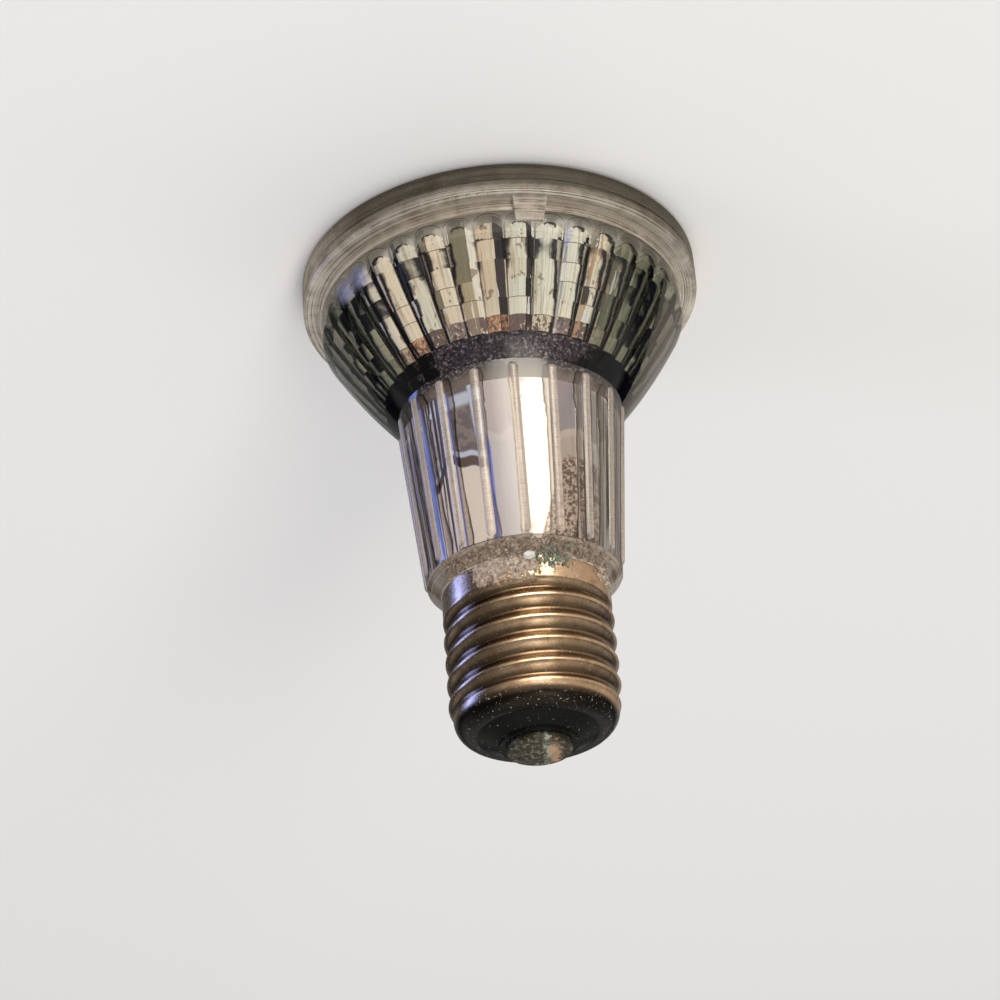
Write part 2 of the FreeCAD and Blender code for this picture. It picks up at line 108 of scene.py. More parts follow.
# What shiny faces see of the room, as tones by turn. Mirrors and glass see one room and bare metal another.
# The wall is above the horizon and the low part below it.
MIRROR_WALL = (
    (-180, (0.05, 0.055, 0.05)), (-132, (0.08, 0.085, 0.09)), (-106, (0.44, 0.42, 0.44)),
    (-84, (0.76, 0.71, 0.66)), (-40, (0.82, 0.75, 0.66)), (-10, (0.80, 0.77, 0.69)),
    (20, (0.92, 0.88, 0.80)), (55, (0.96, 0.91, 0.80)), (90, (0.92, 0.86, 0.74)),
    (122, (0.78, 0.72, 0.61)), (150, (0.20, 0.19, 0.15)), (180, (0.05, 0.055, 0.05)))
MIRROR_LOW = (
    (-180, (0.24, 0.23, 0.25)), (-130, (0.40, 0.38, 0.44)), (-93, (0.55, 0.52, 0.56)),
    (-53, (0.68, 0.61, 0.58)), (-13, (0.57, 0.53, 0.545)), (10, (0.64, 0.60, 0.58)),
    (20, (1.25, 1.15, 1.0)), (36, (1.25, 1.15, 1.0)), (46, (0.70, 0.62, 0.58)),
    (67, (0.62, 0.56, 0.52)), (107, (0.42, 0.38, 0.36)), (180, (0.24, 0.23, 0.25)))
METAL_WALL = (
    (-180, 0.45), (-120, 0.28), (-85, 0.12), (-45, (0.26, 0.24, 0.22)), (-5, (0.55, 0.52, 0.47)),
    (30, (0.62, 0.58, 0.52)), (70, (0.50, 0.46, 0.40)), (110, 0.36), (180, 0.45))
METAL_LOW = (
    (-180, 0.24), (-120, 0.12), (-70, (0.12, 0.11, 0.11)), (-46, (0.26, 0.24, 0.22)),
    (-14, (1.3, 1.22, 1.1)), (12, (2.0, 1.9, 1.7)), (34, (1.5, 1.4, 1.25)),
    (60, (0.85, 0.76, 0.66)), (100, (0.75, 0.66, 0.55)), (140, (0.50, 0.45, 0.40)), (180, 0.24))
STREAK_TURN = 9.0
STREAK_RISE = 70.0
WALL_FOOT = (-6.0, -3.0)
SILL_RISES = (-7.0, -4.0, 8.0, 14.0)
SILL_TONE = (0.02, 0.022, 0.035)
CEILING_FOOT = (56.0, 66.0)
CEILING_TONE = (0.80, 0.79, 0.77)
# Bright patches that only metal sees: the turns and rises where each swells and fades, and its tone.
METAL_PATCHES = (((-20.0, 2.0, 24.0, 40.0), (-60.0, -50.0, -18.0, -9.0), (9.0, 8.4, 7.2)),
                 ((-4.0, 10.0, 34.0, 50.0), (45.0, 49.0, 58.0, 63.0), (2.4, 2.2, 1.9)),
                 ((-109.0, -102.0, -94.0, -87.0), (-48.0, -38.0, -8.0, -3.0), (1.6, 2.3, 6.2)))
ROOM_LIGHT = 0.50

# The floor. Its radii are in millimetres from the axis.
FLOOR_HALF_WIDTH = 3.0
FLOOR_DROP = 0.05 * MM
FLOOR_TONE = (0.80, 0.79, 0.77)
FLOOR_SEEN_FROM = 45.0
LEAST_FALL = 8.0
FLOOR_GLOW = ((-180, 0.30), (-60, 0.24), (-20, (1.1, 1.0, 0.88)), (30, (1.3, 1.2, 1.04)),
              (70, (0.50, 0.44, 0.37)), (180, 0.30))
GLOW_STARTS = (37.0, 42.0)
GLOW_ENDS = (70.0, 60.0)
UNDER_THE_RIM = (0.16, 0.14, 0.11)
FLOOR_THROUGH_GLASS = (0.85, 0.77, 0.66)

# The lamps: name, turn, rise, distance, width, height, power and tint.
LAMPS = (("warm_side_light", 24.0, 22.0, 0.9, 0.3, 0.55, 4.0, (1.0, 0.95, 0.88)),
         ("violet_side_light", -72.0, 26.0, 0.9, 0.3, 0.45, 1.2, (0.70, 0.68, 1.0)),
         ("overhead_light", 150.0, 70.0, 1.1, 0.9, 0.9, 5.0, (1.0, 1.0, 1.0)))

# The painted dark stripe of each flute that faces the front, a painted reflection of dark surroundings: where
# it starts and ends across the flute, and its tone.
NAVY = (0.035, 0.04, 0.065)
BLACK = (0.03, 0.027, 0.03)
OLIVE = (0.27, 0.24, 0.17)
PEWTER = (0.50, 0.52, 0.58)
FIRST_STRIPE = -6
STRIPES = ((0.00, 0.55, NAVY), (0.10, 0.60, BLACK), (0.00, 0.26, NAVY), (0.00, 0.32, NAVY),
           (0.05, 0.40, OLIVE), (0.12, 0.72, OLIVE), (0.62, 0.97, BLACK), (0.74, 0.97, BLACK),
           (0.96, 1.00, PEWTER), (0.06, 0.16, PEWTER), (0.00, 0.30, OLIVE), (0.02, 0.50, BLACK),
           (0.05, 0.60, BLACK), (0.05, 0.55, BLACK))
STRIPE_EDGES = [FLUTE_TURN + (FIRST_STRIPE + i - 0.5) * FLUTE_STEP for i in range(len(STRIPES) + 1)]
STRIPE_BLUR = 0.03

# The tones of the flutes, painted reflections of the room, with the share of a die's throw from which each
# one is taken.
CELL_TONES = ((0.0, (0.90, 0.81, 0.68)), (0.30, (0.80, 0.80, 0.71)), (0.62, (0.88, 0.83, 0.76)),
              (0.84, (0.76, 0.65, 0.51)))
COPPER_TONES = ((0.0, (0.13, 0.07, 0.08)), (0.22, (0.50, 0.24, 0.13)), (0.38, (0.24, 0.17, 0.20)),
                (0.60, (0.74, 0.64, 0.50)), (0.85, (0.42, 0.30, 0.24)))
# Painted light in the flutes: a glint in the dark stripes, a darker shade for the flutes at both sides, a
# violet highlight on two heads, and the beige that is both the mouth's tone and the highlight line inside
# each head.
GLINT_TONE = (0.86, 0.84, 0.88)
PAINTED_SIDE_SHADE = (0.20, 0.22, 0.16)
HEAD_VIOLET = (0.52, 0.56, 1.0)
HEAD_BEIGE = (1.0, 0.95, 0.86)

# The neck: the tones of its front panels from the left, near the bowl and near the cap, which are painted
# reflections of the room. Levels are heights in millimetres, shifted by a wave.
FIRST_PANEL = -3
NEAR_BOWL = ((0.62, 0.58, 0.62), (0.62, 0.60, 0.68), (0.22, 0.20, 0.21), (0.80, 0.71, 0.66),
             (1.0, 0.97, 0.92), (0.46, 0.42, 0.45), (0.56, 0.54, 0.49), (0.66, 0.64, 0.58))
NEAR_CAP = ((0.66, 0.60, 0.62), (0.90, 0.82, 0.80), (1.0, 0.93, 0.83), (0.86, 0.79, 0.77),
            (1.0, 0.97, 0.92), (0.66, 0.58, 0.50), (0.72, 0.70, 0.68), (0.70, 0.68, 0.66))
RIB_BLUR = 0.3
WAVE_RISE = 8.0
PANEL_SHIFT = 2.0
LEFT_SHIFT = 4.5
TONE_CHANGE = (43.0, 43.6)
DARK_PANEL_END = (42.0, 41.6)
# Painted reflections and shade on the left panels: a pale blue halo, a dark shadow band and a pale outline;
# and a painted violet line.
HALO_TOP = (29.8, 30.6, 31.8, 32.8)
HALO_FOOT = (40.4, 40.9, 41.3, 41.8)
HALO_SIDE = (0.64, 0.72, 0.78, 0.88)
HALO_SIDE_END = (39.5, 37.5)
HALO_TONE = (0.72, 0.82, 1.0)
SHADOW_LEVELS = (41.4, 41.9, 43.0, 43.3)
OUTLINE_LEVELS = (43.2, 43.5, 44.3, 44.9)
OUTLINE_TONE = (1.0, 0.96, 0.88)
SPECKLE_HEIGHT = 43.0
SPECKLE_SLANT = 1.25
SPECKLE_EDGE = (29.0, 30.5)
VIOLET_LINE = (0.24, 0.30, 1.0)

# The finishes of the pressed glass, by their place in its list of materials.
CLEAR, MIRROR, RIM, RIBS, END = range(5)
GLASS_IOR = 1.5
QUARTZ_IOR = 1.46
HAZE_IOR = 1.9


class Tree:
    """Short steps for a node tree. Each step adds a node and gives back the socket that it puts out."""

    def __init__(self, tree):
        self.tree = tree

    def add(self, kind, **settings):
        node = self.tree.nodes.new(kind)
        for name, value in settings.items():
            setattr(node, name, value)
        return node

    def feed(self, socket, value):
        if isinstance(value, bpy.types.NodeSocket):
            self.tree.links.new(value, socket)
        else:
            socket.default_value = value

    def math(self, operation, *values):
        node = self.add("ShaderNodeMath", operation=operation)
        for socket, value in zip(node.inputs, values):
            self.feed(socket, value)
        return node.outputs[0]

    def plus(self, first, second):
        return self.math("ADD", first, second)

    def minus(self, first, second):
        return self.math("SUBTRACT", first, second)

    def times(self, first, second):
        return self.math("MULTIPLY", first, second)

    def over(self, first, second):
        return self.math("DIVIDE", first, second)

    def larger(self, first, second):
        return self.math("MAXIMUM", first, second)

    def size(self, value):
        return self.math("ABSOLUTE", value)

    def vector(self, operation, *values):
        node = self.add("ShaderNodeVectorMath", operation=operation)
        for socket, value in zip(node.inputs, values):
            self.feed(socket, value)
        return node.outputs["Value"] if operation == "LENGTH" else node.outputs["Vector"]

    def split(self, vector):
        node = self.add("ShaderNodeSeparateXYZ")
        self.feed(node.inputs[0], vector)
        return node.outputs

    def join(self, x, y, z):
        node = self.add("ShaderNodeCombineXYZ")
        for socket, value in zip(node.inputs, (x, y, z)):
            self.feed(socket, value)
        return node.outputs[0]

    def mix(self, share, first, second, blend="MIX"):
        node = self.add("ShaderNodeMix", data_type="RGBA", blend_type=blend)
        self.feed(node.inputs["Factor"], share)
        self.feed(node.inputs[6], colour(first))
        self.feed(node.inputs[7], colour(second))
        return node.outputs[2]

    def tinted(self, tone, tint):
        return self.mix(1.0, tone, tint, "MULTIPLY")

    def blend(self, share, first, second):
        node = self.add("ShaderNodeMix", data_type="FLOAT")
        self.feed(node.inputs["Factor"], share)
        self.feed(node.inputs[2], first)
        self.feed(node.inputs[3], second)
        return node.outputs[0]

    def mixed_shader(self, share, first, second):
        node = self.add("ShaderNodeMixShader")
        for socket, value in zip(node.inputs, (share, first, second)):
            self.feed(socket, value)
        return node.outputs[0]

    def ramp(self, share, stops, interpolation="LINEAR"):
        node = self.add("ShaderNodeValToRGB")
        ramp = node.color_ramp
        ramp.interpolation = interpolation
        while len(ramp.elements) < len(stops):
            ramp.elements.new(1.0)
        for element, (place, value) in zip(ramp.elements, stops):
            element.position = place
            element.color = colour(value)
        self.feed(node.inputs[0], share)
        return node.outputs[0]

    def round_ramp(self, turn, stops, interpolation="LINEAR"):
        """A ramp whose stops are given in degrees round the axis, from -180 to 180."""
        share = self.over(self.plus(turn, 180.0), 360.0)
        stops = [((degrees + 180.0) / 360.0, value) for degrees, value in stops]
        return self.ramp(share, stops, interpolation)

    def step(self, value, start, end, low=0.0, high=1.0):
        """From low at start to high at end, smoothly. Start may be the larger one."""
        node = self.add("ShaderNodeMapRange", interpolation_type="SMOOTHSTEP")
        for socket, number in zip(node.inputs, (value, start, end, low, high)):
            self.feed(socket, number)
        return node.outputs[0]

    def bell(self, value, start, rise_end, fall_start, end):
        """One between rise_end and fall_start, and nought outside start and end."""
        return self.times(self.step(value, start, rise_end), self.step(value, end, fall_start))

    def past(self, value, limit, blur=0.05):
        return self.step(value, limit - blur, limit + blur)

    def noise(self, place, scale, detail=3.0, roughness=0.55):
        node = self.add("ShaderNodeTexNoise")
        self.feed(node.inputs["Vector"], place)
        for name, value in (("Scale", scale), ("Detail", detail), ("Roughness", roughness)):
            self.feed(node.inputs[name], value)
        return node.outputs["Fac"]

    def cells(self, place, scale):
        node = self.add("ShaderNodeTexVoronoi")
        self.feed(node.inputs["Vector"], place)
        self.feed(node.inputs["Scale"], scale)
        return node.outputs["Distance"]

    def dice(self, place, out="Value"):
        """Chance numbers that stay the same for the same place."""
        node = self.add("ShaderNodeTexWhiteNoise", noise_dimensions="3D")
        self.feed(node.inputs["Vector"], place)
        return node.outputs[out]

    def place(self):
        return self.add("ShaderNodeTexCoord").outputs["Object"]

    def turn(self, x, y):
        angle = self.math("ARCTAN2", self.times(x, -1.0), self.times(y, -1.0))
        return self.math("DEGREES", angle)

    def group(self, tree):
        return self.add("ShaderNodeGroup", node_tree=tree).outputs

    def bump(self, height, strength, distance):
        node = self.add("ShaderNodeBump")
        self.feed(node.inputs["Strength"], strength)
        self.feed(node.inputs["Distance"], distance)
        self.feed(node.inputs["Height"], height)
        return node.outputs[0]


def colour(value):
    """A colour as four numbers, from three numbers, one number or a socket."""
    if isinstance(value, bpy.types.NodeSocket):
        return value
    if isinstance(value, (int, float)):
        return (value, value, value, 1.0)
    return tuple(value) + (1.0,)


def new_group(name, outputs):
    """An empty node group with named outputs: the group, its tree helper and the sockets of its end."""
    tree = bpy.data.node_groups.new(name, "ShaderNodeTree")
    for socket, kind in outputs:
        tree.interface.new_socket(socket, in_out="OUTPUT", socket_type="NodeSocket" + kind)
    end = tree.nodes.new("NodeGroupOutput")
    return tree, Tree(tree), end.inputs


def round_axis(t):
    """A point's place round the bulb's axis, with its height and radius in millimetres."""
    x, y, z = t.split(t.place())
    radius = t.vector("LENGTH", t.join(x, y, 0.0))
    return {"Turn": t.turn(x, y), "Height": t.over(z, MM), "Radius": t.over(radius, MM)}


def around_group():
    """The place round the axis, as a group for the finishes."""
    tree, t, out = new_group("around the axis", [("Turn", "Float"), ("Height", "Float"), ("Radius", "Float")])
    for name, value in round_axis(t).items():
        t.feed(out[name], value)
    return tree


def flute_cells_group(around):
    """Where a point lies on the fluted mirror: its flute and ring as a cell, how far across it and down."""
    tree, t, out = new_group("flute cells", [
        ("Cell", "Vector"), ("Flute", "Float"), ("Ring", "Float"), ("Across", "Float"), ("Down", "Float")])
    where = t.group(around)
    flutes = t.over(t.plus(where["Turn"], FLUTE_STEP / 2 - FLUTE_TURN), FLUTE_STEP)
    flute = t.math("FLOOR", flutes)
    depth = t.larger(t.minus(FACET_VERTEX, where["Height"]), 0.0)
    radius = t.math("SQRT", t.times(depth, 4 * FACET_FOCAL))
    ring_width = (FACET_MOUTH - FACET_THROAT) / FACET_RINGS
    rings = t.over(t.minus(FACET_MOUTH, radius), ring_width)
    ring = t.math("FLOOR", rings)
    t.feed(out["Flute"], flute)
    t.feed(out["Ring"], ring)
    t.feed(out["Cell"], t.join(flute, ring, 0.5))
    t.feed(out["Across"], t.minus(flutes, flute))
    t.feed(out["Down"], t.minus(rings, ring))
    return tree


around = around_group()
flute_cells = flute_cells_group(around)


def one_node(tree, kind):
    """The only node of a kind in a tree."""
    return next(node for node in tree.nodes if node.type == kind)


def material(name):
    """A new node material: the material, its tree helper and its Principled shader's inputs."""
    made = bpy.data.materials.new(name)
    made.use_nodes = True
    return made, Tree(made.node_tree), one_node(made.node_tree, "BSDF_PRINCIPLED").inputs


def room_pattern(t, turn, rise, metal):
    """What shiny faces see of the room, by direction in degrees round and above the horizon."""
    wall = t.round_ramp(turn, METAL_WALL if metal else MIRROR_WALL)
    low = t.round_ramp(turn, METAL_LOW if metal else MIRROR_LOW)
    place = t.join(t.over(turn, STREAK_TURN), t.over(rise, STREAK_RISE), 0.0)
    streaks = t.noise(place, 1.0, detail=4.0, roughness=0.6)
    wall = t.tinted(wall, t.step(streaks, 0.36, 0.50, low=0.6))
    seen = t.mix(t.step(rise, *WALL_FOOT), low, wall)
    seen = t.mix(t.bell(rise, *SILL_RISES), seen, SILL_TONE)
    seen = t.mix(t.step(rise, *CEILING_FOOT), seen, CEILING_TONE)
    if metal:
        for turns, rises, tone in METAL_PATCHES:
            seen = t.mix(t.times(t.bell(turn, *turns), t.bell(rise, *rises)), seen, tone)
    return seen


def seen_by_shiny(t, turn, rise, plain):
    """Mixes a plain shader with the room's patterns, which only mirrors, metal and glass see."""
    path = t.add("ShaderNodeLightPath").outputs
    kind = "ShaderNodeBackground" if plain.node.type == "BACKGROUND" else "ShaderNodeEmission"
    shown = plain
    for ray, metal in (("Is Glossy Ray", True), ("Is Transmission Ray", False)):
        light = t.add(kind)
        t.feed(light.inputs["Color"], room_pattern(t, turn, rise, metal))
        shown = t.mixed_shader(path[ray], shown, light.outputs[0])
    return shown


def room_world():
    """Soft plain light for lit faces, and the room's pattern for what mirrors and glass show."""
    world = bpy.data.worlds.new("room")
    world.use_nodes = True
    tree = world.node_tree
    tree.nodes.clear()
    t = Tree(tree)
    x, y, z = t.split(t.add("ShaderNodeTexCoord").outputs["Generated"])
    turn = t.turn(x, y)
    rise = t.math("DEGREES", t.math("ARCSINE", z))
    soft = t.add("ShaderNodeBackground")
    soft.inputs["Color"].default_value = (1.0, 1.0, 1.0, 1.0)
    soft.inputs["Strength"].default_value = ROOM_LIGHT
    end = t.add("ShaderNodeOutputWorld")
    t.feed(end.inputs["Surface"], seen_by_shiny(t, turn, rise, soft.outputs[0]))
    bpy.context.scene.world = world


def floor_material():
    """Pale plain floor. Near the bulb, shiny faces see a glow in it, and further off the room's low part."""
    made, t, shader = material("pale floor")
    shader["Base Color"].default_value = colour(FLOOR_TONE)
    shader["Roughness"].default_value = 0.9
    shader["Specular IOR Level"].default_value = 0.1
    where = round_axis(t)
    turn, radius = where["Turn"], where["Radius"]
    plain = one_node(made.node_tree, "BSDF_PRINCIPLED").outputs[0]
    fall = t.math("DEGREES", t.math("ARCTANGENT", t.over(FLOOR_SEEN_FROM, radius)))
    far = seen_by_shiny(t, turn, t.times(t.larger(fall, LEAST_FALL), -1.0), plain)
    path = t.add("ShaderNodeLightPath").outputs
    glow = t.mix(t.step(radius, *GLOW_STARTS), UNDER_THE_RIM, t.round_ramp(turn, FLOOR_GLOW))
    near = t.add("ShaderNodeEmission")
    t.feed(near.inputs["Color"], t.mix(path["Is Transmission Ray"], glow, FLOOR_THROUGH_GLASS))
    shiny = t.larger(path["Is Glossy Ray"], path["Is Transmission Ray"])
    shown = t.mixed_shader(t.times(shiny, t.step(radius, *GLOW_ENDS)), far, near.outputs[0])
    t.feed(one_node(made.node_tree, "OUTPUT_MATERIAL").inputs["Surface"], shown)
    return made


def linked(name, data):
    """A new object in the scene."""
    made = bpy.data.objects.new(name, data)
    bpy.context.scene.collection.objects.link(made)
    return made


def floor():
    """The floor, a hair under the lens."""
    mesh = bpy.data.meshes.new("floor")
    bm = bmesh.new()
    bmesh.ops.create_grid(bm, x_segments=1, y_segments=1, size=FLOOR_HALF_WIDTH)
    bmesh.ops.translate(bm, verts=bm.verts, vec=(0.0, 0.0, -FLOOR_DROP))
    bm.to_mesh(mesh)
    bm.free()
    made = linked("floor", mesh)
    mesh.materials.append(floor_material())


def lamp(name, turn, rise, distance, width, height, power, tint):
    """A soft area light, aimed at the neck, that lights faces but isn't seen in them."""
    data = bpy.data.lights.new(name, "AREA")
    data.shape = "RECTANGLE"
    data.size = width
    data.size_y = height
    data.energy = power
    data.color = tint
    made = linked(name, data)
    a, e = math.radians(turn), math.radians(rise)
    away = Vector((-math.sin(a) * math.cos(e), -math.cos(a) * math.cos(e), math.sin(e)))
    made.location = Vector((0.0, 0.0, CAMERA_AIM_HEIGHT)) + away * distance
    made.rotation_mode = "QUATERNION"
    made.rotation_quaternion = (-away).to_track_quat("-Z", "Y")
    made.visible_glossy = False
    made.visible_transmission = False


def camera():
    """The camera, rolled so that the cap points down in the picture."""
    data = bpy.data.cameras.new("camera")
    data.sensor_width = SENSOR
    data.lens = SENSOR * FOCAL_SHARE
    data.shift_x = (PICTURE / 2 - PRINCIPAL_POINT[0]) / PICTURE
    data.shift_y = (PRINCIPAL_POINT[1] - PICTURE / 2) / PICTURE
    data.clip_start, data.clip_end = CAMERA_CLIP
    made = linked("camera", data)
    rise, roll = CAMERA_ELEVATION, CAMERA_ROLL
    back = Vector((0.0, -math.cos(rise), math.sin(rise)))
    level_right = Vector((-1.0, 0.0, 0.0))
    level_up = Vector((0.0, -math.sin(rise), -math.cos(rise)))
    right = math.cos(roll) * level_right - math.sin(roll) * level_up
    up = math.sin(roll) * level_right + math.cos(roll) * level_up
    turned = Matrix((right, up, back)).transposed().to_4x4()
    place = Vector((0.0, 0.0, CAMERA_AIM_HEIGHT)) + back * CAMERA_DISTANCE
    made.matrix_world = Matrix.Translation(place) @ turned
    bpy.context.scene.camera = made


def violet_heads(t, where):
    """The heads of the two flutes on the left that carry a painted violet highlight."""
    return t.times(t.bell(where["Turn"], -67.0, -63.0, -50.0, -46.0), t.step(where["Height"], 10.6, 8.8))


def stripe_limits(t, turn, lone, second):
    """Where the painted dark stripe of a flute starts and ends, and its tone; the stripes paint in dark
    reflections. Flutes at the back have chance ones.
    """
    half = t.times(lone, 0.5)
    other = t.join(t.plus(0.05, half), t.plus(0.45, half), 0.0)
    striped = list(zip(STRIPE_EDGES, STRIPES))
    limits = t.round_ramp(turn, [(edge, (start, end, 0.0)) for edge, (start, end, _) in striped], "CONSTANT")
    tones = t.round_ramp(turn, [(edge, tone) for edge, (_, _, tone) in striped], "CONSTANT")
    chosen = t.times(t.math("GREATER_THAN", turn, STRIPE_EDGES[0]),
                     t.math("LESS_THAN", turn, STRIPE_EDGES[-1]))
    start, end, _ = t.split(t.mix(chosen, other, limits))
    shift = t.times(t.minus(second, 0.5), 0.09)
    return t.plus(start, shift), t.plus(end, shift), t.mix(chosen, BLACK, tones)


def cell_tint(t, lone, chance, streak):
    """The pale tone of a cell, a painted reflection of the room, partly its flute's, with long streaks and
    brown blots.
    """
    tint = t.mix(0.65, t.ramp(chance, CELL_TONES, "CONSTANT"), t.ramp(lone, CELL_TONES, "CONSTANT"))
    tint = t.mix(t.step(streak, 0.56, 0.66), tint, t.tinted(tint, (0.72, 0.66, 0.58)))
    blots = t.noise(t.vector("MULTIPLY", t.place(), (1.0, 1.0, 0.6)), 620.0, detail=2.0, roughness=0.6)
    return t.mix(t.times(t.step(blots, 0.62, 0.67), 0.75), tint, (0.26, 0.19, 0.12))


def copper_foot(t, second):
    """The crumbled copper, plum and beige cells of the last ring."""
    copper = t.ramp(second, COPPER_TONES, "CONSTANT")
    crumbled = t.noise(t.vector("MULTIPLY", t.place(), (1.0, 1.0, 0.5)), 1500.0, roughness=0.7)
    copper = t.mix(t.step(crumbled, 0.50, 0.56), copper, (0.10, 0.06, 0.06))
    return t.mix(t.step(crumbled, 0.42, 0.38), copper, (0.66, 0.56, 0.46))


def side_spots(t, where, lone, painted):
    """Orange spots and painted blue glints right of the front, painted shade on the flutes at both sides, and
    the painted violet highlight on the heads.
    """
    turn = where["Turn"]
    bits = t.noise(t.join(t.times(turn, 0.42), t.times(where["Height"], 0.42), lone), 1.0, detail=2.0)
    orange_spots = t.times(t.bell(turn, 32.0, 35.0, 52.0, 62.0), t.step(bits, 0.57, 0.60))
    painted = t.mix(t.times(orange_spots, 0.8), painted, (0.55, 0.32, 0.20))
    # Painted blue glints.
    blue = t.times(t.bell(turn, 22.0, 24.0, 44.0, 47.0), t.step(bits, 0.345, 0.33))
    painted = t.mix(blue, painted, (0.62, 0.66, 1.0))
    # Painted shade: the flutes at both sides darkened.
    shaded_sides = t.larger(t.step(turn, 36.0, 50.0), t.step(turn, -46.0, -60.0))
    painted = t.mix(t.times(shaded_sides, 0.84), painted, PAINTED_SIDE_SHADE)
    return t.mix(violet_heads(t, where), painted, HEAD_VIOLET)


def flute_paint(t, where, cell):
    """Cream, grey-green and tan cells with a dark stripe down each flute, painted reflections of the room on
    the fluted film, with painted glints and painted shade along seams and ring breaks.
    """
    turn, across = where["Turn"], cell["Across"]
    lone = t.dice(t.join(cell["Flute"], 3.7, 9.1))
    chance = t.dice(cell["Cell"])
    second = t.dice(t.vector("ADD", cell["Cell"], (5.5, 2.5, 7.5)))
    start, end, tones = stripe_limits(t, turn, lone, second)
    place = t.join(t.times(across, 6.0), t.times(where["Height"], 0.10), lone)
    place = t.vector("ADD", place, t.vector("MULTIPLY", cell["Cell"], (11.3, 0.0, 0.0)))
    streak = t.noise(place, 1.0)
    tint = cell_tint(t, lone, chance, streak)
    dark = t.times(t.step(across, t.minus(start, STRIPE_BLUR), start),
                   t.step(across, end, t.minus(end, STRIPE_BLUR)))
    tones = t.mix(t.step(chance, 0.66, 0.68), tones, t.tinted(tones, (1.9, 1.8, 1.8)))
    tones = t.mix(t.step(second, 0.86, 0.88), tones, BLACK)
    # Painted glints in the dark stripes.
    glint = t.times(t.step(streak, 0.57, 0.60), t.step(chance, 0.45, 0.47))
    painted = t.mix(dark, tint, t.mix(glint, tones, GLINT_TONE))
    last = t.step(cell["Ring"], FACET_RINGS - 1.5, FACET_RINGS - 1.4)
    painted = t.mix(t.times(last, t.minus(0.9, t.times(dark, 0.4))), painted, copper_foot(t, second))
    painted = side_spots(t, where, lone, painted)
    # Painted shade: dark lines along the seams between flutes and along some ring breaks.
    cusp = t.step(t.size(t.minus(across, 0.5)), 0.455, 0.48)
    painted = t.mix(t.times(cusp, t.blend(second, 0.95, 0.45)), painted, (0.12, 0.08, 0.06))
    break_line = t.times(t.step(cell["Down"], 0.06, 0.03), t.step(second, 0.62, 0.64))
    return t.mix(t.times(break_line, 0.8), painted, (0.12, 0.09, 0.07))


def by_panel(t, turn, tones):
    """A tone for each front panel of the neck. The last one holds for those at the back."""
    edge = RIB_TURN + PANEL_STEP * (FIRST_PANEL - 1)
    stops = [(edge + PANEL_STEP * i, tone) for i, tone in enumerate(tones)]
    return t.round_ramp(turn, [(-180.0, tones[-1])] + stops, "CONSTANT")


def left_panels(t, across, height, level, left, painted):
    """The two panels left of the front: a dark painted reflection, blotched, inside a painted pale blue halo,
    with a painted shadow band over a painted pale outline.
    """
    dark_panel = t.times(left, t.step(level, *DARK_PANEL_END))
    smudge = t.step(t.noise(t.place(), 420.0, roughness=0.6), 0.52, 0.60)
    painted = t.mix(t.times(smudge, t.times(dark_panel, 0.6)), painted, (0.42, 0.36, 0.33))
    lean = t.times(t.minus(height, 30.0), 0.012)
    side = t.times(t.bell(t.minus(across, lean), *HALO_SIDE), t.step(height, *HALO_SIDE_END))
    halo = t.larger(t.larger(t.bell(height, *HALO_TOP), side), t.bell(level, *HALO_FOOT))
    painted = t.mix(t.times(halo, dark_panel), painted, HALO_TONE)
    painted = t.mix(t.times(t.bell(level, *SHADOW_LEVELS), left), painted, (0.16, 0.12, 0.10))
    outline = t.bell(level, *OUTLINE_LEVELS)
    return t.mix(t.times(outline, t.blend(left, 0.25, 0.95)), painted, OUTLINE_TONE)


def speckled_panels(t, turn, height, painted):
    """A brown speckled patch right of the front, below a slanting edge, and a painted pale reflection line
    beside a rib.
    """
    speckle = t.step(t.noise(t.place(), 1500.0, detail=2.0, roughness=0.7), 0.44, 0.56)
    slant = t.plus(turn, t.times(t.minus(height, SPECKLE_HEIGHT), SPECKLE_SLANT))
    speckled_patch = t.times(t.step(slant, *SPECKLE_EDGE), t.step(height, 41.5, 43.0))
    speckled_patch = t.times(speckled_patch, t.bell(turn, RIB_TURN, RIB_TURN + RIB_BLUR, 50.0, 62.0))
    painted = t.mix(speckled_patch, painted, t.mix(speckle, (0.20, 0.13, 0.09), (0.70, 0.58, 0.47)))
    # A painted pale reflection line beside a rib.
    return t.mix(t.bell(turn, 38.6, 39.2, 40.4, 41.0), painted, (1.0, 0.97, 0.92))


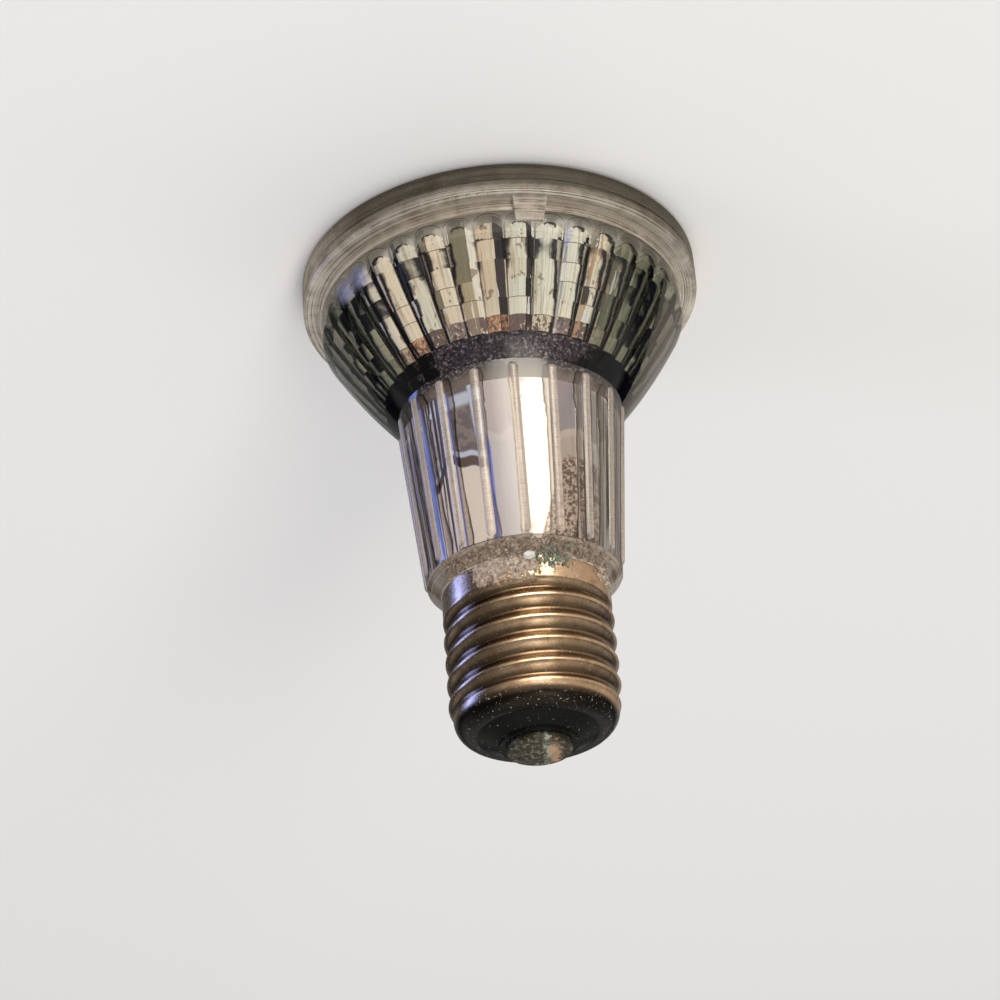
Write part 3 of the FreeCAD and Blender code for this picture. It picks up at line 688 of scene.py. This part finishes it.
def neck_paint(t, where):
    """The tone of each panel of the neck near the bowl and near the cap, a painted reflection of the room,
    with a wavy edge between.
    """
    turn, height = where["Turn"], where["Height"]
    panels = t.over(t.minus(turn, RIB_TURN - PANEL_STEP), PANEL_STEP)
    panel = t.math("FLOOR", panels)
    across = t.minus(panels, panel)
    lone = t.dice(t.join(panel, 2.2, 6.1))
    left_start, left_end = RIB_TURN - 3 * PANEL_STEP, RIB_TURN - PANEL_STEP
    left = t.bell(turn, left_start, left_start + RIB_BLUR, left_end - RIB_BLUR, left_end)
    wave = t.noise(t.join(across, 0.0, panel), 1.3, detail=0.0)
    level = t.plus(t.plus(height, t.times(wave, WAVE_RISE)), t.times(lone, PANEL_SHIFT))
    level = t.minus(level, t.times(left, LEFT_SHIFT))
    painted = t.mix(t.step(level, *TONE_CHANGE), by_panel(t, turn, NEAR_BOWL), by_panel(t, turn, NEAR_CAP))
    painted = left_panels(t, across, height, level, left, painted)
    # A painted pale outline along the edge of the left panels.
    wander = t.noise(t.join(0.0, t.over(height, 5.0), panel), 1.0, detail=2.0)
    border = t.minus(across, t.times(wander, 0.42))
    border = t.times(t.bell(border, -0.10, -0.06, 0.0, 0.05), t.step(level, 43.4, 44.0))
    painted = t.mix(t.times(border, left), painted, OUTLINE_TONE)
    painted = speckled_panels(t, turn, height, painted)
    # A painted violet reflection line at the left edge of the panels left of the front.
    front_panel = t.times(t.step(turn, left_end - RIB_BLUR, left_end), t.step(height, 37.0, 41.0))
    width = t.blend(front_panel, 0.09, 0.20)
    violet_start = left_start - PANEL_STEP
    violet = t.times(t.step(across, width, t.minus(width, 0.05)),
                     t.bell(turn, violet_start, violet_start + RIB_BLUR, 0.0, 3.0))
    painted = t.mix(t.times(violet, 0.9), painted, VIOLET_LINE)
    # Painted shade: dark streaks on the panels at both sides.
    streak_place = t.join(t.times(across, 8.0), t.over(height, 40.0), panel)
    sides = t.step(t.size(turn), 34.0, 46.0)
    streak = t.times(sides, t.step(t.noise(streak_place, 1.3), 0.50, 0.56))
    return t.mix(streak, painted, (0.10, 0.09, 0.12))


def mouth_paint(t, where, cell, flutes):
    """The flared mouth of the film, painted in the beige of the glass: the flutes' round heads, each with a
    painted highlight line inside its edge and a painted dark shade line along it.
    """
    side = t.times(t.minus(cell["Across"], 0.5), 2.0)
    drop = t.minus(1.0, t.math("SQRT", t.minus(1.0, t.times(side, side))))
    depth = t.minus(t.minus(where["Height"], HEAD_TOP), t.times(drop, HEAD_DROP))
    stain = t.step(t.noise(t.place(), 500.0, roughness=0.6), 0.50, 0.70)
    plain = t.mix(stain, HEAD_BEIGE, (0.88, 0.77, 0.64))
    headed = t.mix(t.past(depth, 0.0, blur=0.02), plain, t.mix(0.35, flutes, (1.0, 0.94, 0.84)))
    # Painted highlight inside each head's edge, then painted shade along the edge.
    headed = t.mix(t.bell(depth, 0.02, 0.08, 0.16, 0.24), headed, HEAD_BEIGE)
    return t.mix(t.times(t.bell(depth, -0.14, -0.06, 0.0, 0.05), 0.85), headed, (0.20, 0.15, 0.11))


def throat_paint(t, height):
    """The dark speckled throat, plain brown towards the neck."""
    speckle = t.noise(t.place(), 2000.0, roughness=0.75)
    throat = t.ramp(speckle, ((0.42, (0.015, 0.015, 0.03)), (0.56, (0.09, 0.075, 0.085)),
                              (0.68, (0.42, 0.38, 0.38))))
    return t.mix(t.step(height, 26.5, 28.8), throat, (0.21, 0.17, 0.16))


def mirror_seen_through_glass():
    """The back of the film, seen through the glass: a mirror broken up by its flutes, with painted
    reflections in its cells and panels.
    """
    made, t, shader = material("mirror seen through glass")
    where = t.group(around)
    height = where["Height"]
    cell = t.group(flute_cells)
    flutes = flute_paint(t, where, cell)
    base = t.mix(t.past(height, FACET_END), flutes, throat_paint(t, height))
    base = t.mix(t.past(height, PANEL_START), base, neck_paint(t, where))
    reach = t.plus(where["Radius"], t.times(t.minus(height, FLARE_START), FLARE_SLOPE))
    flare = t.times(t.step(reach, *MOUTH_EDGE), t.step(height, *MOUTH_END))
    t.feed(shader["Base Color"], t.mix(flare, base, mouth_paint(t, where, cell, flutes)))
    # The mouth and the violet heads are less metallic, so that their painted tones show.
    dull = t.larger(t.times(flare, 0.6), t.times(violet_heads(t, where), 0.8))
    t.feed(shader["Metallic"], t.minus(1.0, dull))
    t.feed(shader["Roughness"], t.blend(flare, 0.06, 0.22))
    wave = t.noise(t.place(), 130.0, detail=2.0, roughness=0.5)
    fine = t.noise(t.place(), 700.0, detail=2.0, roughness=0.5)
    bumped = t.bump(t.plus(wave, t.times(fine, 0.05)), 1.0, 0.16 * MM)
    tilt = t.vector("SUBTRACT", t.dice(cell["Cell"], "Color"), (0.5, 0.5, 0.5))
    tilt = t.vector("MULTIPLY", tilt, (0.07, 0.07, 0.07))
    t.feed(shader["Normal"], t.vector("NORMALIZE", t.vector("ADD", bumped, tilt)))
    return made


def mirror_inside():
    """The bright face of the film, seen through the lens."""
    made, t, shader = material("mirror film")
    haze = t.noise(t.place(), 220.0, detail=4.0, roughness=0.6)
    t.feed(shader["Base Color"], t.ramp(haze, ((0.3, (0.80, 0.79, 0.77)), (0.7, (0.92, 0.91, 0.90)))))
    t.feed(shader["Roughness"], t.blend(haze, 0.08, 0.16))
    shader["Metallic"].default_value = 1.0
    t.feed(shader["Normal"], t.bump(haze, 1.0, 0.05 * MM))
    return made


def clear_glass(name, ior):
    """Clear glass that lets all light through: the material, its tree helper and its shader's inputs."""
    made, t, shader = material(name)
    shader["IOR"].default_value = ior
    shader["Transmission Weight"].default_value = 1.0
    return made, t, shader


def pressed_glass():
    """Clear pressed glass with soft waves and a trace of grime."""
    made, t, shader = clear_glass("pressed glass", GLASS_IOR)
    grime = t.noise(t.place(), 260.0, detail=4.0, roughness=0.62)
    t.feed(shader["Base Color"], t.ramp(grime, ((0.35, (0.98, 0.98, 0.96)), (0.75, (0.92, 0.91, 0.87)))))
    t.feed(shader["Roughness"], t.step(grime, 0.50, 0.8, 0.0, 0.05))
    wave = t.noise(t.place(), 110.0, detail=2.0, roughness=0.5)
    t.feed(shader["Normal"], t.bump(wave, 1.0, 0.05 * MM))
    return made


def lens_glass():
    """The clear lens, stippled with small round dimples."""
    made, t, shader = clear_glass("lens glass", GLASS_IOR)
    dimple = t.cells(t.place(), 620.0)
    grime = t.noise(t.place(), 260.0, detail=4.0, roughness=0.62)
    t.feed(shader["Base Color"], t.ramp(grime, ((0.35, (0.97, 0.97, 0.95)), (0.75, (0.93, 0.92, 0.89)))))
    t.feed(shader["Roughness"], t.step(grime, 0.4, 0.8, 0.02, 0.10))
    t.feed(shader["Normal"], t.bump(dimple, 0.6, 0.15 * MM))
    return made


def quartz():
    """The clear quartz of the capsule, with a breath of haze."""
    made, t, shader = clear_glass("quartz", QUARTZ_IOR)
    haze = t.noise(t.place(), 400.0, roughness=0.6)
    t.feed(shader["Base Color"], t.ramp(haze, ((0.3, (0.98, 0.98, 0.98)), (0.7, (0.94, 0.95, 0.96)))))
    t.feed(shader["Roughness"], t.step(haze, 0.5, 0.8, 0.0, 0.06))
    return made


def hazy_glass(name, light, dark, clearness, line_depth, coat=1.0, front=1.0):
    """Thick glass gone hazy, with the fine rings of its mould. Where it faces the front, the factor front
    darkens it with painted shade, most towards the lens edge.
    """
    made, t, shader = material(name)
    where = t.group(around)
    grime = t.noise(t.place(), 300.0, detail=5.0, roughness=0.65)
    place = t.join(t.times(where["Radius"], 4.0), t.times(where["Height"], 4.0), t.over(where["Turn"], 60.0))
    rings = t.noise(place, 1.0, roughness=0.6)
    base = t.ramp(t.plus(t.times(grime, 0.35), t.times(rings, 0.65)), ((0.40, dark), (0.56, light)))
    # Painted shade: the side that faces the front is darkened, most at the lens edge.
    if front < 1.0:
        faces_front = t.bell(where["Turn"], -80.0, -38.0, 60.0, 100.0)
        lens_edge = t.step(where["Height"], 6.2, 2.4, 0.38, 1.0)
        darker = t.tinted(base, (front, 0.96 * front, 0.82 * front))
        base = t.mix(t.times(faces_front, lens_edge), base, darker)
    t.feed(shader["Base Color"], base)
    t.feed(shader["Roughness"], t.step(grime, 0.35, 0.75, 0.08, 0.28))
    shader["IOR"].default_value = GLASS_IOR
    shader["Transmission Weight"].default_value = clearness
    shader["Coat Weight"].default_value = coat
    shader["Coat Roughness"].default_value = 0.06
    shader["Coat IOR"].default_value = HAZE_IOR
    t.feed(shader["Normal"], t.bump(rings, 0.7, line_depth))
    return made


def joint_crust(t, where, lumps):
    """Where a dusty crust lies on the collar: thick at the joint, and most of it left of the front."""
    front = t.plus(t.bell(where["Turn"], -46.0, -30.0, 4.0, 22.0), 0.12)
    crust = t.plus(t.times(lumps, 0.9), t.times(front, 0.42))
    crust = t.minus(crust, t.times(t.minus(where["Height"], CAP_START), 0.045))
    return t.times(t.step(crust, 0.70, 0.78), t.step(where["Height"], 63.4, 62.4))


def aged_brass():
    """Lacquered brass gone brown and darker in its grooves, with a dusty crust at the joint and a black end.
    """
    made, t, shader = material("aged brass")
    where = t.group(around)
    height = where["Height"]
    place = t.place()
    patch = t.noise(place, 320.0, detail=5.0, roughness=0.65)
    metal = t.ramp(patch, (
        (0.30, (0.30, 0.19, 0.12)), (0.50, (0.52, 0.37, 0.24)), (0.72, (0.66, 0.50, 0.34))))
    groove = t.times(t.step(where["Radius"], 12.9, 12.3), t.bell(height, 62.5, 63.5, 78.5, 79.5))
    metal = t.mix(t.times(groove, 0.75), metal, (0.09, 0.055, 0.03))
    blackened = t.step(t.plus(height, t.times(patch, 1.2)), 80.5, 81.8)
    metal = t.mix(blackened, metal, (0.030, 0.026, 0.020))
    dust = t.step(t.noise(place, 2100.0, roughness=0.75), 0.63, 0.70)
    dust = t.times(dust, t.plus(0.35, t.times(blackened, 0.5)))
    lumps = t.noise(place, 900.0, detail=4.0, roughness=0.7)
    crust = joint_crust(t, where, lumps)
    dirt = t.ramp(t.noise(place, 1700.0, roughness=0.7), (
        (0.32, (0.16, 0.11, 0.07)), (0.50, (0.44, 0.34, 0.26)), (0.68, (0.70, 0.60, 0.50))))
    t.feed(shader["Base Color"], t.mix(crust, t.mix(dust, metal, (0.62, 0.57, 0.48)), dirt))
    covered = t.larger(crust, dust)
    t.feed(shader["Metallic"], t.minus(1.0, covered))
    t.feed(shader["Roughness"], t.blend(covered, t.step(patch, 0.3, 0.7, 0.26, 0.13), 0.85))
    scratch = t.noise(t.join(where["Turn"], t.times(height, 14.0), 0.0), 1.2, roughness=0.6)
    relief = t.plus(t.times(scratch, 0.15), t.times(t.times(crust, lumps), 3.0))
    t.feed(shader["Normal"], t.bump(relief, 0.9, 0.12 * MM))
    return made


def plain_metal(name, tint, roughness):
    """Clean metal, a little darker and duller in patches."""
    made, t, shader = material(name)
    patch = t.noise(t.place(), 900.0, roughness=0.6)
    darker = tuple(0.6 * part for part in tint)
    t.feed(shader["Base Color"], t.ramp(patch, ((0.3, darker), (0.7, tint))))
    t.feed(shader["Roughness"], t.step(patch, 0.3, 0.7, roughness + 0.15, roughness))
    shader["Metallic"].default_value = 1.0
    t.feed(shader["Normal"], t.bump(patch, 0.4, 0.02 * MM))
    return made


def tarnished_contact():
    """The contact and its solder, gone dark, with a tan spot and a pale green streak across the middle."""
    made, t, shader = material("tarnished metal")
    x, y, _ = t.split(t.vector("DIVIDE", t.place(), (MM, MM, MM)))
    grain = t.noise(t.place(), 1100.0, detail=4.0, roughness=0.7)
    wander = t.times(t.minus(grain, 0.5), 5.0)
    base = t.ramp(grain, (
        (0.34, (0.03, 0.026, 0.016)), (0.52, (0.075, 0.066, 0.042)), (0.72, (0.26, 0.23, 0.17))))
    spot = t.vector("LENGTH", t.join(t.over(t.plus(x, 2.1), 0.8), t.over(y, 2.6), 0.0))
    base = t.mix(t.step(t.plus(spot, wander), 1.6, 0.7), base, (0.66, 0.42, 0.24))
    streak = t.step(t.plus(t.size(t.plus(x, 1.1)), wander), 0.4, 0.0)
    t.feed(shader["Base Color"], t.mix(t.times(streak, 0.6), base, (0.50, 0.55, 0.46)))
    t.feed(shader["Metallic"], t.step(grain, 0.62, 0.52, 0.2, 0.7))
    t.feed(shader["Roughness"], t.step(grain, 0.4, 0.7, 0.34, 0.6))
    t.feed(shader["Normal"], t.bump(grain, 0.7, 0.10 * MM))
    return made


def rough_stuff(name, dark, light, scale, roughness, depth):
    """Dull grainy stuff between two tones."""
    made, t, shader = material(name)
    grain = t.noise(t.place(), scale, detail=5.0, roughness=0.65)
    t.feed(shader["Base Color"], t.ramp(grain, ((0.3, dark), (0.7, light))))
    shader["Roughness"].default_value = roughness
    t.feed(shader["Normal"], t.bump(grain, 0.8, depth))
    return made


def black_glass():
    """The black glass of the cap's end, with dust settled on it."""
    made, t, shader = material("black glass")
    dust = t.step(t.noise(t.place(), 2300.0, roughness=0.7), 0.66, 0.72)
    t.feed(shader["Base Color"], t.mix(dust, (0.005, 0.005, 0.004), (0.40, 0.37, 0.31)))
    t.feed(shader["Roughness"], t.blend(dust, 0.25, 0.8))
    shader["Specular IOR Level"].default_value = 0.08
    t.feed(shader["Normal"], t.bump(dust, 0.5, 0.05 * MM))
    return made


def dress(names, finish):
    """Gives CAD nodes a material."""
    for name in names.split():
        mesh = nodes[name].data
        if not mesh.materials:
            mesh.materials.append(finish)
        for slot in nodes[name].material_slots:
            slot.material = finish


def merged_copy(node):
    """A bmesh copy of a CAD node's mesh with its loose triangles joined."""
    bm = bmesh.new()
    bm.from_mesh(nodes[node].data)
    bmesh.ops.remove_doubles(bm, verts=bm.verts, dist=0.002 * MM)
    for layer in list(bm.loops.layers.uv):
        bm.loops.layers.uv.remove(layer)
    return bm


def finished(bm, name, materials, sharp_angle=25.0):
    """Turns a bmesh into an object with smooth faces and crisp edges, and lets it ride on the bulb."""
    mesh = bpy.data.meshes.new(name)
    bm.to_mesh(mesh)
    bm.free()
    if "custom_normal" in mesh.attributes:
        mesh.attributes.remove(mesh.attributes["custom_normal"])
    mesh.shade_smooth()
    mesh.set_sharp_from_angle(angle=math.radians(sharp_angle))
    for finish in materials:
        mesh.materials.append(finish)
    made = linked(name, mesh)
    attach(made, "root")
    return made


def split_copy(node, name, materials, pick):
    """A copy of a CAD node in several materials, where pick says which each face takes."""
    bm = merged_copy(node)
    for face in bm.faces:
        centre = face.calc_center_median() / MM
        outward = Vector((centre.x, centre.y, 0.0)).normalized()
        face.material_index = pick(centre.z, outward.dot(centre), face.normal.dot(outward), face.normal.z)
    made = finished(bm, name, materials)
    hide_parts(node)


def neck_radius(height):
    """The outside of the neck between its ribs, in millimetres."""
    share = (height - NECK_START[0]) / (NECK_END[0] - NECK_START[0])
    return NECK_START[1] + (NECK_END[1] - NECK_START[1]) * share


def glass_finish(height, radius, out, up):
    """The pressed glass is clear. Its inside is the mirror; its flange, lug, ribs and end are hazy."""
    inside = FILM_START < height < NECK_END[0] + 1.0 and radius < FACET_MOUTH + 0.6
    if inside and (out < -0.15 or up < -0.5):
        return MIRROR
    if height < BAND_END or (height < LUG_END and radius > BAND_RADIUS - 0.25):
        return RIM
    if NECK_START[0] < height < NECK_END[0] and radius > neck_radius(height) + 0.02:
        return RIBS
    return END if height > NECK_END[0] else CLEAR


def lens_finish(height, radius, out, up):
    """The lens is clear inside its thick rim."""
    return int(radius > PANE_RADIUS)


def mirror_film(finish):
    """The film a hair inside the glass, so that no two faces coincide."""
    shrink = 0.997
    drop = 0.03 * MM
    bm = merged_copy("mirror_coating")
    bmesh.ops.scale(bm, verts=bm.verts, vec=(shrink, shrink, 1.0))
    bmesh.ops.translate(bm, verts=bm.verts, vec=(0.0, 0.0, -drop))
    made = finished(bm, "mirror_film", [finish])
    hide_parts("mirror_coating")


def thread_radius(turn, height):
    """The outside of the cap where a circle is carried round a small helix, in millimetres."""
    turns = (height - THREAD_START) / THREAD_PITCH
    all_turns = (THREAD_END - THREAD_START) / THREAD_PITCH
    blend = max(0.0, min(1.0, turns / THREAD_RUN_IN, (all_turns - turns) / THREAD_RUN_IN))
    end_radius = COLLAR_RADIUS if turns < all_turns / 2 else SHOULDER_RADIUS
    mean = THREAD_CREST - THREAD_DEPTH / 2
    swing = THREAD_DEPTH / 2 * math.cos(turn - math.radians(THREAD_FIRST_TURN) - math.tau * turns)
    return end_radius + (mean - end_radius) * blend + swing * blend


def cap_profile():
    """The outside of the cap before its thread is formed: the wall, the rolled shoulder and its lip."""
    rows = 110
    bends = 10
    profile = [(COLLAR_RADIUS, CAP_START + (THREAD_END - CAP_START) * i / rows) for i in range(rows + 1)]
    for i in range(1, bends + 1):
        angle = math.pi / 2 * i / bends
        profile.append((SHOULDER_RADIUS - SHOULDER_ROUND + SHOULDER_ROUND * math.cos(angle),
                        THREAD_END + SHOULDER_ROUND * math.sin(angle)))
    profile.append((SHOULDER_RADIUS - SHOULDER_ROUND - SHOULDER_LIP, THREAD_END + SHOULDER_ROUND))
    return profile


def cap_shell(finish):
    """The drawn cap: a fine turned surface pushed into its thread, then given the sheet's thickness."""
    columns = 144
    bm = bmesh.new()
    verts = [bm.verts.new((radius * MM, 0.0, height * MM)) for radius, height in cap_profile()]
    edges = [bm.edges.new(pair) for pair in zip(verts, verts[1:])]
    bmesh.ops.spin(bm, geom=verts + edges, cent=(0, 0, 0), axis=(0, 0, 1), angle=math.tau, steps=columns,
                   use_merge=True)
    bmesh.ops.remove_doubles(bm, verts=bm.verts, dist=0.001 * MM)
    for vert in bm.verts:
        height = vert.co.z / MM
        if THREAD_START <= height <= THREAD_END + 0.01:
            turn = math.atan2(vert.co.y, vert.co.x)
            radius = thread_radius(turn, min(height, THREAD_END)) * MM
            vert.co.x, vert.co.y = radius * math.cos(turn), radius * math.sin(turn)
    bmesh.ops.recalc_face_normals(bm, faces=bm.faces)
    bmesh.ops.solidify(bm, geom=bm.faces[:], thickness=CAP_WALL * MM)
    made = finished(bm, "cap_shell", [finish], 40.0)
    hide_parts("screw_shell")


def at(radius, turn, height):
    """A point in metres, from millimetres and degrees."""
    angle = math.radians(turn)
    return Vector((-radius * math.sin(angle), -radius * math.cos(angle), height)) * MM


def crumb(bm, place, size, chance):
    """One uneven crumb, pressed a little into what it sits on."""
    made = bmesh.ops.create_icosphere(bm, subdivisions=1, radius=size)["verts"]
    squash = Vector([chance.uniform(0.5, 1.3) for _ in range(3)])
    for vert in made:
        vert.co *= 1.0 + 0.5 * (noise.noise(vert.co / size * 1.7 + place / MM) - 0.1)
        vert.co = Vector((vert.co.x * squash.x, vert.co.y * squash.y, vert.co.z * squash.z)) + place


def crumbs(name, finish, seed, count, turns, heights, sizes):
    """Crumbs on the collar and in the joint above it. Turns and heights are least, most and usual."""
    chance = random.Random(seed)
    bm = bmesh.new()
    for _ in range(count):
        turn = chance.triangular(*turns)
        height = chance.triangular(*heights)
        radius = COLLAR_RADIUS if height > CAP_START else NECK_END[1] - (height - NECK_END[0])
        crumb(bm, at(radius, turn, height), chance.uniform(*sizes) * MM, chance)
    made = finished(bm, name, [finish], 60.0)


def side_bead(finish):
    """The bead of the side wire: a flattened, uneven blob where the CAD bead sits."""
    flatness = 0.72
    low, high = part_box("side_solder")
    middle = (low + high) / 2
    reach = (high - low) / 2
    bm = bmesh.new()
    bmesh.ops.create_icosphere(bm, subdivisions=4, radius=1.0)
    for vert in bm.verts:
        swell = 0.86 + 0.30 * noise.noise(vert.co * 1.9) + 0.07 * noise.noise(vert.co * 6.0)
        vert.co = Vector([part * half * swell for part, half in zip(vert.co, reach)]) + middle
        vert.co.z = middle.z + flatness * (vert.co.z - middle.z)
    made = finished(bm, "side_bead", [finish], 60.0)
    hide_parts("side_solder")


# The room, the lamps and the camera.
bpy.context.scene.view_settings.view_transform = "Standard"
room_world()
floor()
for settings in LAMPS:
    lamp(*settings)
camera()

# The glass and the film. The tones of hazy glass are given light, then dark.
clear = pressed_glass()
# The rim glass is darkened where it faces the front, a painted shade.
rim_glass = hazy_glass("rim glass", (1.0, 0.88, 0.71), (0.30, 0.21, 0.13), clearness=0.36,
                       line_depth=0.26 * MM, front=0.07)
rib_glass = hazy_glass("rib glass", (0.86, 0.74, 0.62), (0.66, 0.55, 0.45), clearness=0.62,
                       line_depth=0.005 * MM, coat=0.0)
end_glass = hazy_glass("end glass", (0.46, 0.37, 0.28), (0.18, 0.13, 0.09), clearness=0.30,
                       line_depth=0.01 * MM)
split_copy("reflector_glass", "glass_body",
           [clear, mirror_seen_through_glass(), rim_glass, rib_glass, end_glass], glass_finish)
split_copy("front_lens", "lens_body", [lens_glass(), rim_glass], lens_finish)
mirror_film(mirror_inside())

# The capsule, the seal and the wires. The tones of rough stuff are given dark, then light.
dress("capsule_envelope", quartz())
dress("lens_seal", rough_stuff("seal compound", (0.16, 0.13, 0.09), (0.42, 0.37, 0.29), scale=900.0,
                               roughness=0.5, depth=0.05 * MM))
dress("filament", plain_metal("tungsten", (0.32, 0.31, 0.30), 0.35))
dress("filament_lead_short filament_lead_long foil_left foil_right capsule_pin_left capsule_pin_right",
      plain_metal("bright wire", (0.72, 0.71, 0.69), 0.25))
dress("support_post_left support_post_right ferrule_left ferrule_right",
      plain_metal("plated steel", (0.62, 0.60, 0.57), 0.28))
dress("side_lead_wire centre_lead_wire fuse_wire contact_lead_wire",
      plain_metal("lead wire", (0.60, 0.50, 0.42), 0.35))

# The cap, and the dirt in its joint.
cap_shell(aged_brass())
dress("cap_insulator", black_glass())
dress("centre_contact contact_solder", tarnished_contact())
cement = rough_stuff("cement", (0.22, 0.16, 0.11), (0.72, 0.64, 0.55), scale=1200.0, roughness=0.9,
                     depth=0.15 * MM)
dress("cap_cement", cement)
side_bead(rough_stuff("white bead", (0.55, 0.52, 0.45), (0.95, 0.93, 0.88), scale=1300.0, roughness=0.55,
                      depth=0.12 * MM))
crumbs("cement_crumbs", cement, seed=11, count=170, turns=(-48.0, 40.0, -8.0),
       heights=(57.2, 62.2, 58.9), sizes=(0.10, 0.34))
soil = rough_stuff("joint dirt", (0.07, 0.05, 0.035), (0.44, 0.34, 0.25), scale=1300.0, roughness=0.95,
                   depth=0.12 * MM)
crumbs("joint_dirt", soil, seed=47, count=520, turns=(-68.0, 70.0, 2.0),
       heights=(56.4, 59.0, 57.9), sizes=(0.14, 0.44))
verdigris = rough_stuff("verdigris", (0.035, 0.05, 0.035), (0.28, 0.34, 0.26), scale=1100.0, roughness=0.95,
                        depth=0.1 * MM)
crumbs("verdigris_crumbs", verdigris, seed=23, count=120, turns=(4.0, 34.0, 15.0),
       heights=(57.4, 61.0, 58.7), sizes=(0.14, 0.42))
crumbs("side_crumbs", cement, seed=31, count=40, turns=(50.0, 88.0, 66.0),
       heights=(57.6, 61.6, 58.8), sizes=(0.10, 0.36))
